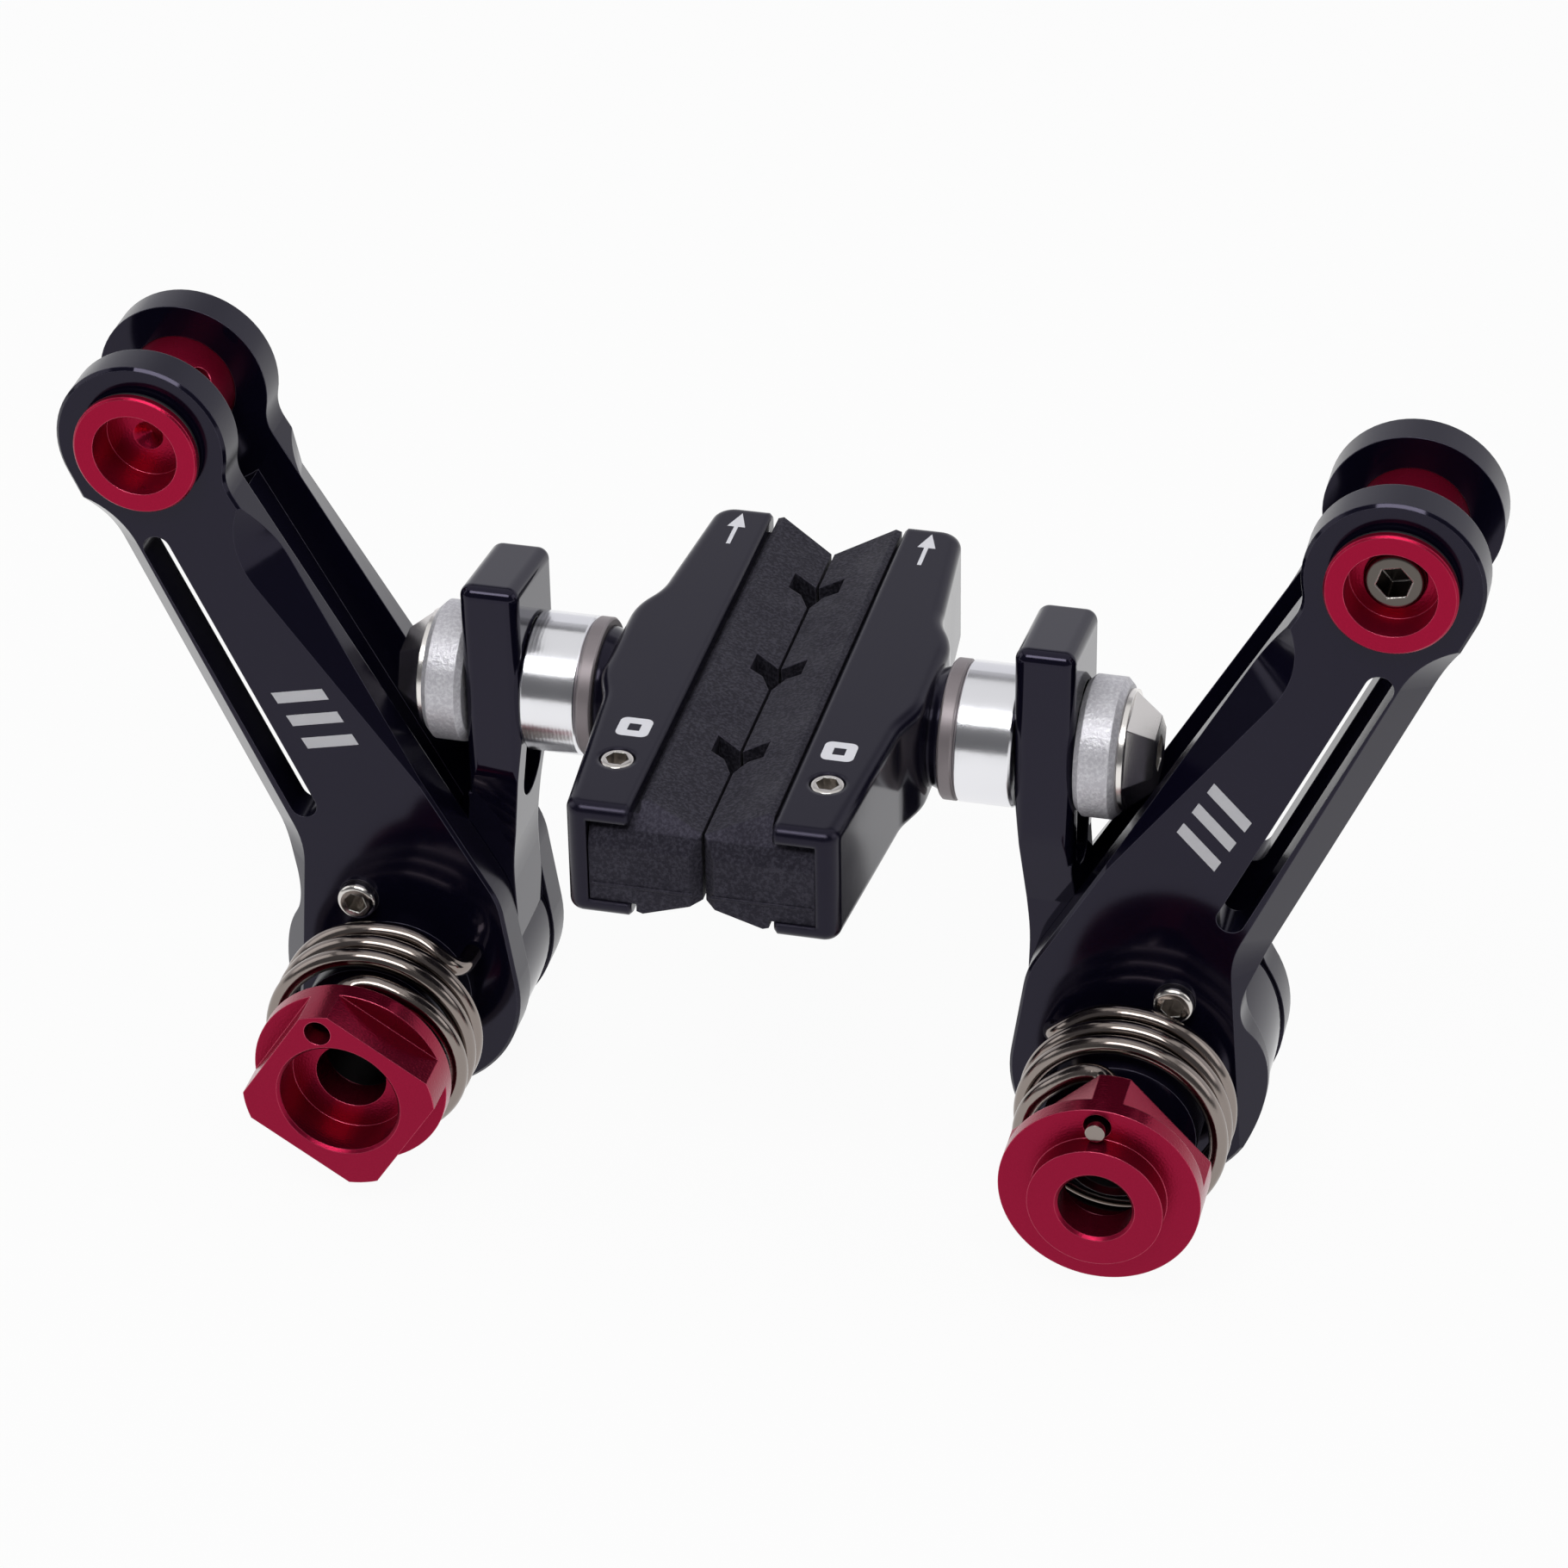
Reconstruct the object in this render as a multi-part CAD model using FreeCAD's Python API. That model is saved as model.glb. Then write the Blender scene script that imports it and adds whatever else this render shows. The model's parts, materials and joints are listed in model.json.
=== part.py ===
import FreeCAD, Part
import math
import os

# Cantilever brake, a pair of arms drawn closed with the pads face to face.
# Millimetres. X runs across the wheel, Y along the pivots with the viewer on
# the -Y side, Z up. The origin is midway between the pivots on the front face
# of the cable arms. Everything is drawn for the right arm and mirrored.

# Pivots and the sleeves that run on the frame's bosses
PIVOT_X = 37.75
BOSS_R = 4.0
SLEEVE_R = 5.0
SLEEVE_FRONT = -12.2
RUN = 0.05

# Cable arm
FRONT_T = 3.85
BACK_Y = 12.72
BACK_T = 3.63
HEAD = (60.46, 59.45)
HEAD_R = 8.58
HUB_R = 12.66
HUB_BOSS_R = 7.6
HUB_BOSS_L = 8.6
OUTER_DIR = (0.414, 0.910)
INNER_AT = (42.05, 38.4)
INNER_DIR = (0.4965, 0.868)
SHOULDER = (26.66, 11.5)
SLOT_TOP = (59.67, 48.19)
SLOT_LOW = (46.60, 20.41)
SLOT_R = 1.4
BEVEL_W = 3.0
BEVEL_D = 3.4
BEVEL_START = (69.77, 44.71)
BEVEL_RUN = 33.6
INNER_BEVEL_W = 3.2
INNER_BEVEL_D = 2.6
INNER_BEVEL = ((42.7, 50.6), (23.4, 24.7))
BACK_BEVEL = (1.25, 0.35)
CUTTER_R = 9.0
EDGE = 0.3

# Fine screw beside the spring
SCREW_AT = (41.40, 10.16)
SCREW_R = 2.0
SCREW_PROUD = 1.2

# Cable barrel in the clevis
BARREL_R = 5.3
RING_R = 6.26
RING_FRONT = -1.72
RING_BACK = -0.90
BARREL_END = 16.30

# Pad arm
BLADE_IN = 24.5
BLADE_T = 5.9
BLADE_OUT = BLADE_IN + BLADE_T
BLADE_TOP = 45.9
BLADE_FALL = 1.8
BLADE_Y = (3.1, 15.7)
BLADE_JOIN = 30.5
BLADE_WIDEN = 3.0
BLADE_RAMP = 8.3
BLADE_LOW = BLADE_JOIN - BLADE_WIDEN
BLADE_NECK = BLADE_LOW - BLADE_RAMP
BLADE_SHOULDER = 5.5
BLADE_FRONT_RAMP = 7.6
BLADE_EDGES = 8.5
BLADE_WAIST = (26.3, 13.5)
BLADE_FOOT = (26.0, 4.5)
BLADE_HEEL = (31.6, 10.7)
BLADE_BEND = 21.0
BLADE_ROUND = 1.2
WAIST_ROUND = 30.0
RAMP_ROUND = 12.0
PAD_HUB_R = 12.4
STUD_Y = 8.9
STUD_Z = 32.7
STUD_R = 3.0
BLADE_SLOT = (22.7, 36.3)
BLADE_SLOT_R = 3.2

# Pad
PAD_Z = 33.0
FACE_X = 0.15
SEAM_X = 6.9
SEAM_GAP = 0.5
CAVITY_X = 11.0
PAD_FRONT = -21.5
PAD_BACK = 35.5
HOLDER_HALF = 6.1
HOLDER_BULGE = 16.05
HOLDER_WAIST = (14.2, 14.7)
HOLDER_TIP = (12.7, 13.0)
BULGE_Y = (18.6, 15.0, 2.4, -1.6)
CAVITY_HALF = 4.5
CAVITY_BACK = 33.8
GROOVES_Y = (24.1, 8.4, -6.8)
PAD_SCREW = (10.18, -12.9)

# Stud stack, along X: the spacer fills the room between the holder's washer and the blade
WASHER_R = 6.95
HOLDER_STUB = 1.15
GREY_T = 1.54
CLAMP_T = 4.05
NUT_L = 3.23
STUD_SUNK = 1.55
SEAT = 0.05
STACK_GAP = 0.02
GREY_X = (HOLDER_BULGE + HOLDER_STUB, HOLDER_BULGE + HOLDER_STUB + GREY_T)
SPACER_X = (GREY_X[1] + STACK_GAP, BLADE_IN - SEAT)
CLAMP_X = (BLADE_OUT + SEAT, BLADE_OUT + SEAT + CLAMP_T)
NUT_X = (CLAMP_X[1] + STACK_GAP, CLAMP_X[1] + STACK_GAP + NUT_L)
STUD_END = NUT_X[1] - STUD_SUNK
NUT_COLLAR_R = 5.9
NUT_FLATS = (10.0, 6.4)

# Tension nut and return spring
NUT_FACE = {"left": -20.3, "right": -21.0}
LOBE_R = 9.85
FLAT = 7.95
FLATS_L = 4.0
FLANGE_L = 1.8
BOSS_L = 2.25
NUT_BOSS_R = 6.6
NUT_BORE_R = 3.6
COUNTER_R = 6.05
COUNTER_L = 4.3
WIRE_R = 0.95
COIL_R = 9.75
PITCH = {"left": 2.4, "right": 2.6}
COIL_Y = {"left": -4.4, "right": -2.3}
TAIL_ANGLE = 139.0
HOOK_R = 8.0
HOOK_BEND = 2.2
HOOK_ANGLE = {"left": 78.0, "right": 92.0}
FLAT_TURN = {"left": 57.0, "right": 47.0}

V = FreeCAD.Vector
ALONG_Y = V(0, 1, 0)
ALONG_X = V(1, 0, 0)


def disc(x, z, r, y0, y1):
    return Part.makeCylinder(r, y1 - y0, V(x, y0, z), ALONG_Y)


def round_bar(y, z, r, x0, x1):
    return Part.makeCylinder(r, x1 - x0, V(x0, y, z), ALONG_X)


def cone_y(x, z, r0, r1, y0, y1):
    return Part.makeCone(r0, r1, y1 - y0, V(x, y0, z), ALONG_Y)


def prism_y(points, y0, y1):
    wire = Part.makePolygon([V(x, y0, z) for x, z in points + points[:1]])
    return Part.Face(wire).extrude(V(0, y1 - y0, 0))


def prism_x(points, x0, x1):
    wire = Part.makePolygon([V(x0, y, z) for y, z in points + points[:1]])
    return Part.Face(wire).extrude(V(x1 - x0, 0, 0))


def prism_z(points, z0, z1):
    wire = Part.makePolygon([V(x, y, z0) for x, y in points + points[:1]])
    return Part.Face(wire).extrude(V(0, 0, z1 - z0))


def fillet_along(shape, axis, radius, spots, reach=0.4):
    # Round the edges that run along one axis and pass through the given spots.
    others = [a for a in "xyz" if a != axis]
    picked = []
    for edge in shape.Edges:
        a, b = edge.Vertexes[0].Point, edge.Vertexes[-1].Point
        if any(abs(getattr(a, o) - getattr(b, o)) > 0.01 for o in others):
            continue
        if edge.Length < 0.2:
            continue
        here = [getattr(a, o) for o in others]
        if any(math.dist(here, s) < reach for s in spots):
            picked.append(edge)
    return shape.makeFillet(radius, picked)


def rounded_face(points, rounds):
    # A flat face whose numbered corners are tangent arcs, so that a shallow corner rounds as surely as a sharp one.
    corners = []
    for k, p in enumerate(points):
        a, b = (points[k - 1] - p).normalize(), (points[(k + 1) % len(points)] - p).normalize()
        half = a.getAngle(b) / 2
        if k in rounds and half < math.pi / 2 - 0.000001:
            reach, r = rounds[k] / math.tan(half), rounds[k]
            corners.append((p + a * reach, p + (a + b).normalize() * (r / math.sin(half) - r), p + b * reach))
        else:
            corners.append((p, None, p))
    edges = []
    for k, (first, middle, last) in enumerate(corners):
        if middle is not None:
            edges.append(Part.Arc(first, middle, last).toShape())
        edges.append(Part.makeLine(last, corners[(k + 1) % len(corners)][0]))
    return Part.Face(Part.Wire(edges))


def slot_cut(p, q, r, y0, y1):
    # A straight slot with round ends, cut along Y.
    dx, dz = q[0] - p[0], q[1] - p[1]
    n = math.hypot(dx, dz)
    ox, oz = -dz / n * r, dx / n * r
    box = prism_y([(p[0] + ox, p[1] + oz), (q[0] + ox, q[1] + oz),
                   (q[0] - ox, q[1] - oz), (p[0] - ox, p[1] - oz)], y0, y1)
    return box.fuse([disc(p[0], p[1], r, y0, y1), disc(q[0], q[1], r, y0, y1)]).removeSplitter()


def tapered_pass(path, width, depth):
    # The sweep of a conical cutter whose point runs along a path in XZ.
    start, end = -0.8, FRONT_T + 0.2
    slope = width / depth
    wide = CUTTER_R - slope * start
    slim = CUTTER_R - slope * end
    pieces = [cone_y(x, z, wide, slim, start, end) for x, z in path]
    for (x0, z0), (x1, z1) in zip(path, path[1:]):
        dx, dz = x1 - x0, z1 - z0
        n = math.hypot(dx, dz)
        ox, oz = -dz / n, dx / n
        section = [(wide, start), (slim, end), (-slim, end), (-wide, start)]
        wire = Part.makePolygon([V(x0 + ox * s, y, z0 + oz * s) for s, y in section + section[:1]])
        pieces.append(Part.Face(wire).extrude(V(dx, 0, dz)))
    return pieces[0].fuse(pieces[1:])


def mirrored(shape):
    return shape.mirror(V(0, 0, 0), ALONG_X)


def arm_plate(y0, y1):
    # Head, hub and the tapered bar between them, as one flat plate.
    ox, oz = OUTER_DIR
    tangent = (HEAD[0] + HEAD_R * oz, HEAD[1] - HEAD_R * ox)
    gap = tangent[0] * oz - tangent[1] * ox - PIVOT_X * oz
    half = math.sqrt(HUB_R ** 2 - gap ** 2)
    notch = (PIVOT_X + gap * oz + half * ox, -gap * ox + half * oz)
    ix, iz = INNER_DIR
    drop = (HEAD[0] - INNER_AT[0]) * iz - (HEAD[1] - INNER_AT[1]) * ix
    chord = math.sqrt(HEAD_R ** 2 - drop ** 2)
    neck = (HEAD[0] - drop * iz - chord * ix, HEAD[1] + drop * ix - chord * iz)
    bx, bz = SHOULDER[0] - PIVOT_X, SHOULDER[1]
    touch = math.atan2(bz, bx) + math.acos(HUB_R / math.hypot(bx, bz))
    foot = (PIVOT_X + HUB_R * math.cos(touch), HUB_R * math.sin(touch))
    inside = (neck[0] + 3.0 * ix, neck[1] + 3.0 * iz)
    bar = prism_y([HEAD, tangent, notch, (PIVOT_X, 0), foot, SHOULDER, inside], y0, y1)
    plate = bar.fuse([disc(HEAD[0], HEAD[1], HEAD_R, y0, y1), disc(PIVOT_X, 0, HUB_R, y0, y1)])
    plate = plate.removeSplitter()
    plate = fillet_along(plate, "y", 6.0, [notch])
    plate = fillet_along(plate, "y", 4.0, [neck])
    return fillet_along(plate, "y", 9.0, [SHOULDER])


def broken_edge(plate, y):
    # Take the sharp corner off the outline of one flat face.
    rim = [e for e in plate.Edges if abs(e.BoundBox.YMin - y) < 0.01 and abs(e.BoundBox.YMax - y) < 0.01]
    return plate.makeChamfer(EDGE, rim)


def cable_arm():
    rear = BACK_Y + BACK_T
    front = broken_edge(arm_plate(0, FRONT_T), 0)
    ox, oz = OUTER_DIR
    turn = (BEVEL_START[0] - BEVEL_RUN * ox, BEVEL_START[1] - BEVEL_RUN * oz)
    front = front.cut(tapered_pass([BEVEL_START, turn, (turn[0] + 1.6, turn[1] - 22.0)], BEVEL_W, BEVEL_D))
    front = front.cut(tapered_pass(list(INNER_BEVEL), INNER_BEVEL_W, INNER_BEVEL_D))
    back = arm_plate(BACK_Y, rear)
    ix, iz = INNER_DIR

    def at(u, n):
        return (INNER_AT[0] + u * ix + n * iz, INNER_AT[1] + u * iz - n * ix)

    # The back plate's inner edge leans in towards the rear, most near the head.
    ends = []
    for u, edge, lean in ((-26.0, 0.0, BACK_BEVEL[1]), (14.0, 0.0, BACK_BEVEL[0]), (20.5, -0.9, -0.9)):
        section = [(at(u, -6.0), BACK_Y), (at(u, edge), BACK_Y), (at(u, lean), rear), (at(u, lean), rear + 1.0),
                   (at(u, -6.0), rear + 1.0)]
        ends.append(Part.makePolygon([V(p[0], y, p[1]) for p, y in section + section[:1]]))
    for pair in zip(ends, ends[1:]):
        back = back.cut(Part.makeLoft(list(pair), True, True))
    web = prism_y([at(-24, 4.5), at(20, 3.6), at(20, 7.6), at(-15, 10.4), at(-24, 10.8)], FRONT_T, BACK_Y)
    web = web.cut(disc(HEAD[0], HEAD[1], HEAD_R + 2.6, 0, rear)).cut(disc(PIVOT_X, 0, PAD_HUB_R + 0.9, 0, rear))
    boss = disc(PIVOT_X, 0, HUB_BOSS_R, -HUB_BOSS_L, 0)
    arm = front.fuse([back, web, boss]).removeSplitter()
    arm = arm.cut(slot_cut(SLOT_TOP, SLOT_LOW, SLOT_R, -1, rear + 1))
    arm = arm.cut(disc(PIVOT_X, 0, SLEEVE_R + RUN, -HUB_BOSS_L - 1, rear + 1))
    arm = arm.cut(disc(HEAD[0], HEAD[1], BARREL_R + RUN, -1, rear + 1))
    return arm.cut(disc(SCREW_AT[0], SCREW_AT[1], SCREW_R + RUN, -1, FRONT_T + 1))


def pad_arm():
    # Below the join the blade is what three outlines share: from the front, the side and above.
    y0, y1 = FRONT_T + 0.1, BACK_Y - 0.1
    low, high = BLADE_Y
    rear = high + 2.0
    shoulder = (low, BLADE_JOIN - BLADE_SHOULDER)
    front_foot = shoulder[1] - BLADE_FRONT_RAMP
    floor, edges = -PAD_HUB_R - 1.6, BLADE_JOIN - BLADE_EDGES
    outline = [(BLADE_IN, BLADE_JOIN), BLADE_WAIST, BLADE_FOOT, (PIVOT_X, 0), BLADE_HEEL, (BLADE_OUT, BLADE_BEND),
               (BLADE_OUT, BLADE_JOIN)]
    blank = rounded_face([V(x, 0, z) for x, z in outline], {1: WAIST_ROUND}).extrude(V(0, rear, 0))
    blank = blank.fuse(disc(PIVOT_X, 0, PAD_HUB_R, 0, rear)).removeSplitter()
    profile = [(y0, floor), (y1, floor), (y1, BLADE_NECK), (high, BLADE_LOW), (high, BLADE_JOIN), (low, BLADE_JOIN),
               shoulder, (y0, front_foot)]
    side = rounded_face([V(0, y, z) for y, z in profile], {2: RAMP_ROUND, 3: RAMP_ROUND, 6: RAMP_ROUND})
    side = side.extrude(V(2 * PIVOT_X, 0, 0))
    above = Part.makeBox(BLADE_OUT - BLADE_IN, high - low, BLADE_TOP, V(BLADE_IN, low, front_foot))
    above = fillet_along(above, "z", BLADE_ROUND, [(x, y) for x in (BLADE_IN, BLADE_OUT) for y in BLADE_Y])
    above = above.fuse(Part.makeBox(2 * PIVOT_X, rear, edges - floor, V(0, 0, floor)))
    arm = blank.common(side).common(above)
    # Above it, a plain block with a falling top, rounded all over.
    top = prism_x([(low, BLADE_JOIN), (high, BLADE_JOIN), (high, BLADE_TOP - BLADE_FALL), (low, BLADE_TOP)],
                  BLADE_IN, BLADE_OUT)
    top = top.makeFillet(BLADE_ROUND, [e for e in top.Edges if e.BoundBox.ZMax > BLADE_JOIN + 0.1])
    arm = arm.fuse(top).removeSplitter()
    x0, x1 = BLADE_IN - 1, BLADE_OUT + 1
    slot = round_bar(STUD_Y, BLADE_SLOT[0], BLADE_SLOT_R, x0, x1).fuse(
        [round_bar(STUD_Y, BLADE_SLOT[1], BLADE_SLOT_R, x0, x1),
         Part.makeBox(x1 - x0, 2 * BLADE_SLOT_R, BLADE_SLOT[1] - BLADE_SLOT[0],
                      V(x0, STUD_Y - BLADE_SLOT_R, BLADE_SLOT[0]))])
    return arm.cut(slot).cut(disc(PIVOT_X, 0, SLEEVE_R + RUN, -1, rear))


def pivot_sleeve():
    tube = disc(PIVOT_X, 0, SLEEVE_R, SLEEVE_FRONT, BACK_Y + BACK_T)
    return tube.cut(disc(PIVOT_X, 0, BOSS_R, SLEEVE_FRONT - 1, BACK_Y + BACK_T + 1))


def hex_prism_y(x, z, flats, y0, y1):
    r = flats / math.sqrt(3)
    pts = [(x + r * math.cos(math.radians(60 * k + 12)), z + r * math.sin(math.radians(60 * k + 12))) for k in range(6)]
    return prism_y(pts, y0, y1)


def adjusting_screw():
    x, z = SCREW_AT
    body = disc(x, z, SCREW_R, -SCREW_PROUD, FRONT_T - 0.2)
    body = body.makeFillet(0.5, [e for e in body.Edges if abs(e.BoundBox.YMax + SCREW_PROUD) < 0.01])
    return body.cut(hex_prism_y(x, z, 2.0, -SCREW_PROUD - 1, 2.2))


def cable_barrel(side):
    x, z = HEAD
    ring = disc(x, z, RING_R, RING_FRONT, RING_BACK)
    ring = ring.makeChamfer(0.2, [e for e in ring.Edges if abs(e.BoundBox.YMax - RING_FRONT) < 0.01])
    body = ring.fuse(disc(x, z, BARREL_R, RING_BACK, BARREL_END)).removeSplitter()
    middle = 0.5 * (FRONT_T + BACK_Y)
    if side == "right":
        body = body.cut(disc(x, z, 4.35, RING_FRONT - 1, 1.6))
        body = body.cut(disc(x, z, 2.95, 0, 9.6))
    else:
        body = body.cut(disc(x, z, 4.25, RING_FRONT - 1, 2.4))
        body = body.cut(cone_y(x, z, 1.5, 0.1, 2.4, 3.3))
    cable = Part.makeCylinder(1.1, 20, V(x - 7.07, middle, z + 7.07) , V(0.7071, 0, -0.7071))
    body = body.cut(cable)
    if side == "left":
        body = body.cut(Part.makeCylinder(2.6, 10, V(x, middle, z), V(0.7071, 0, -0.7071)))
    return body


def barrel_o_ring():
    return Part.makeTorus(5.75, 0.40, V(HEAD[0], 0.5 * (RING_BACK - 0.06), HEAD[1]), ALONG_Y)


def cable_pinch_screw():
    x, z = HEAD
    body = disc(x, z, 2.9, 0.6, 6.9)
    body = body.makeFillet(0.5, [e for e in body.Edges if abs(e.BoundBox.YMax - 0.6) < 0.01])
    return body.cut(hex_prism_y(x, z, 3.0, -1, 3.6))


def pad_holder():
    z0, z1 = PAD_Z - HOLDER_HALF, PAD_Z + HOLDER_HALF
    waist_back, waist_front = HOLDER_WAIST
    tip_back, tip_front = HOLDER_TIP
    outer = [(tip_back, PAD_BACK), (waist_back, BULGE_Y[0]), (HOLDER_BULGE, BULGE_Y[1]), (HOLDER_BULGE, BULGE_Y[2]),
             (waist_front, BULGE_Y[3]), (tip_front, PAD_FRONT)]
    body = prism_z(outer + [(SEAM_X, PAD_FRONT), (SEAM_X, PAD_BACK)], z0, z1)
    body = fillet_along(body, "z", 2.4, [outer[0]])
    body = fillet_along(body, "z", 8.0, outer[1:5])
    body = fillet_along(body, "z", 1.6, [outer[5]])
    rims = [e for e in body.Edges if e.BoundBox.ZLength < 0.01 and e.BoundBox.XMax > SEAM_X + 0.1]
    body = body.makeFillet(1.1, rims)
    cavity = Part.makeBox(CAVITY_X - SEAM_X + 2, CAVITY_BACK - PAD_FRONT + 2, 2 * CAVITY_HALF,
                          V(SEAM_X - 2, PAD_FRONT - 2, PAD_Z - CAVITY_HALF))
    body = body.cut(cavity)
    lips = [e for e in body.Edges if e.BoundBox.XMax < SEAM_X + 0.01 and e.BoundBox.ZLength < 0.01 and e.Length > 0.7 * (PAD_BACK - PAD_FRONT)
            and abs(abs(e.BoundBox.ZMax - PAD_Z) - HOLDER_HALF) < 0.01]
    body = body.makeChamfer(EDGE, lips)
    body = body.fuse(Part.makeCone(5.2, 6.2, GREY_X[0] - 0.05 - HOLDER_BULGE + 1.5, V(HOLDER_BULGE - 1.5, STUD_Y, STUD_Z),
                                   ALONG_X)).removeSplitter()
    body = body.cut(round_bar(STUD_Y, STUD_Z, STUD_R + 0.02, CAVITY_X - 1, GREY_X[1]))
    return body.cut(Part.makeCylinder(1.75, 5, V(PAD_SCREW[0], PAD_SCREW[1], z1 - 3.4)))


def pad_insert():
    # A block that stands out of the holder, a tongue inside it, and a narrow gap along the holder's lips.
    half = [(FACE_X, 3.65), (SEAM_X - 1.1, 5.45), (SEAM_X - SEAM_GAP, 5.25), (SEAM_X - SEAM_GAP, CAVITY_HALF - 0.05),
            (CAVITY_X - 0.1, CAVITY_HALF - 0.05)]
    section = half + [(x, -h) for x, h in reversed(half)]
    front, back, end = PAD_FRONT + 0.3, CAVITY_BACK - 0.1, PAD_BACK - 0.2
    wire = Part.makePolygon([V(x, front, PAD_Z + h) for x, h in section + section[:1]])
    body = Part.Face(wire).extrude(V(0, back - front, 0))
    block = [(x, h) for x, h in section if x < SEAM_X]
    wire = Part.makePolygon([V(x, back, PAD_Z + h) for x, h in block + block[:1]])
    body = body.fuse(Part.Face(wire).extrude(V(0, end - back, 0))).removeSplitter()
    # The front end slopes back above the middle; seen from above, the face's corners are cut, the rear one wide.
    nose = [(front - 1, PAD_Z + 1.6), (front, PAD_Z + 1.6), (front + 0.7, PAD_Z + 3.3), (front + 3.2, PAD_Z + 5.5),
            (front + 3.2, PAD_Z + 8), (front - 1, PAD_Z + 8)]
    body = body.cut(prism_x(nose, FACE_X - 1, CAVITY_X))
    low, high = PAD_Z - 2 * HOLDER_HALF, PAD_Z + 2 * HOLDER_HALF
    for tip, length, width in ((front, 1.0, 1.2), (end, -3.2, 5.8)):
        body = body.cut(prism_z([(FACE_X, tip + length), (width, tip), (width, tip - length), (FACE_X - 1, tip - length),
                                 (FACE_X - 1, tip + length)], low, high))
    # The grooves lean back from the face, with the front corner of each mouth cut away.
    for y in GROOVES_Y:
        body = body.cut(prism_z([(FACE_X - 0.5, y - 3.5), (FACE_X + 1.0, y - 0.9), (FACE_X + 2.4, y - 0.4),
                                 (FACE_X + 2.4, y + 2.5), (FACE_X - 0.5, y + 1.05)], low, high))
    return body.cut(Part.makeCylinder(1.85, 6, V(PAD_SCREW[0], PAD_SCREW[1], PAD_Z + HOLDER_HALF - 3.5)))


def insert_screw():
    x, y = PAD_SCREW
    top = PAD_Z + HOLDER_HALF
    body = Part.makeCylinder(1.7, 3.2, V(x, y, top - 3.2))
    body = body.makeFillet(0.4, [e for e in body.Edges if abs(e.BoundBox.ZMin - top) < 0.01])
    pts = [(x + 1.155 * math.cos(math.radians(60 * k)), y + 1.155 * math.sin(math.radians(60 * k))) for k in range(6)]
    return body.cut(prism_z(pts, top - 2.3, top + 1))


def pad_stud():
    return round_bar(STUD_Y, STUD_Z, STUD_R, CAVITY_X + 0.2, STUD_END)


def ring_x(r, bore, x0, x1, edge):
    body = round_bar(STUD_Y, STUD_Z, r, x0, x1)
    body = body.makeChamfer(edge, [e for e in body.Edges if e.BoundBox.XLength < 0.01])
    return body.cut(round_bar(STUD_Y, STUD_Z, bore, x0 - 1, x1 + 1))


def stud_nut():
    # Conical hexagon nut with a collar, closed at the outer end by a key socket.
    def hexagon(flats, x):
        r = flats / math.sqrt(3)
        pts = [V(x, STUD_Y + r * math.cos(math.radians(60 * k + 10)), STUD_Z + r * math.sin(math.radians(60 * k + 10)))
               for k in range(6)]
        return Part.makePolygon(pts + pts[:1])

    collar = NUT_X[0] + 0.6
    body = Part.makeLoft([hexagon(NUT_FLATS[0], collar), hexagon(NUT_FLATS[1], NUT_X[1])], True, True)
    body = body.fuse(round_bar(STUD_Y, STUD_Z, NUT_COLLAR_R, NUT_X[0], collar)).removeSplitter()
    body = body.cut(round_bar(STUD_Y, STUD_Z, STUD_R + RUN, NUT_X[0] - 1, STUD_END + 0.1))
    return body.cut(Part.Face(hexagon(3.2, STUD_END)).extrude(V(NUT_X[1] - STUD_END + 1, 0, 0)))


def tension_nut(side):
    # Drawn about the Y axis with the flats towards -Y, then set on its pivot.
    nut = disc(0, 0, LOBE_R, 0, FLATS_L)
    turn = math.radians(FLAT_TURN[side])
    corner = FLAT * math.sqrt(2)
    square = [(corner * math.cos(turn + math.radians(45 + 90 * k)), corner * math.sin(turn + math.radians(45 + 90 * k)))
              for k in range(4)]
    nut = nut.common(prism_y(square, -1, FLATS_L))
    nut = nut.fuse([disc(0, 0, LOBE_R, FLATS_L, FLATS_L + FLANGE_L),
                    disc(0, 0, NUT_BOSS_R, FLATS_L + FLANGE_L, FLATS_L + FLANGE_L + BOSS_L)]).removeSplitter()
    deep = FLATS_L + FLANGE_L + BOSS_L
    nut = nut.cut(disc(0, 0, NUT_BORE_R, -1, deep + 1)).cut(disc(0, 0, COUNTER_R, -1, COUNTER_L))
    nut = nut.cut(cone_y(0, 0, COUNTER_R + EDGE, COUNTER_R, 0, EDGE))
    nut = nut.cut(cone_y(0, 0, NUT_BORE_R, NUT_BORE_R + EDGE, deep - EDGE, deep))
    if side == "right":
        nut.rotate(V(0, 0, 0), V(0, 0, 1), 180)
        nut.translate(V(0, deep, 0))
    angle = math.radians(HOOK_ANGLE[side] if side == "right" else 180 - HOOK_ANGLE[side])
    nut = nut.cut(disc(HOOK_R * math.cos(angle), HOOK_R * math.sin(angle), WIRE_R + 0.4, -1, deep + 1))
    sign = 1 if side == "right" else -1
    nut.translate(V(sign * PIVOT_X, NUT_FACE[side], 0))
    return nut


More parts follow.
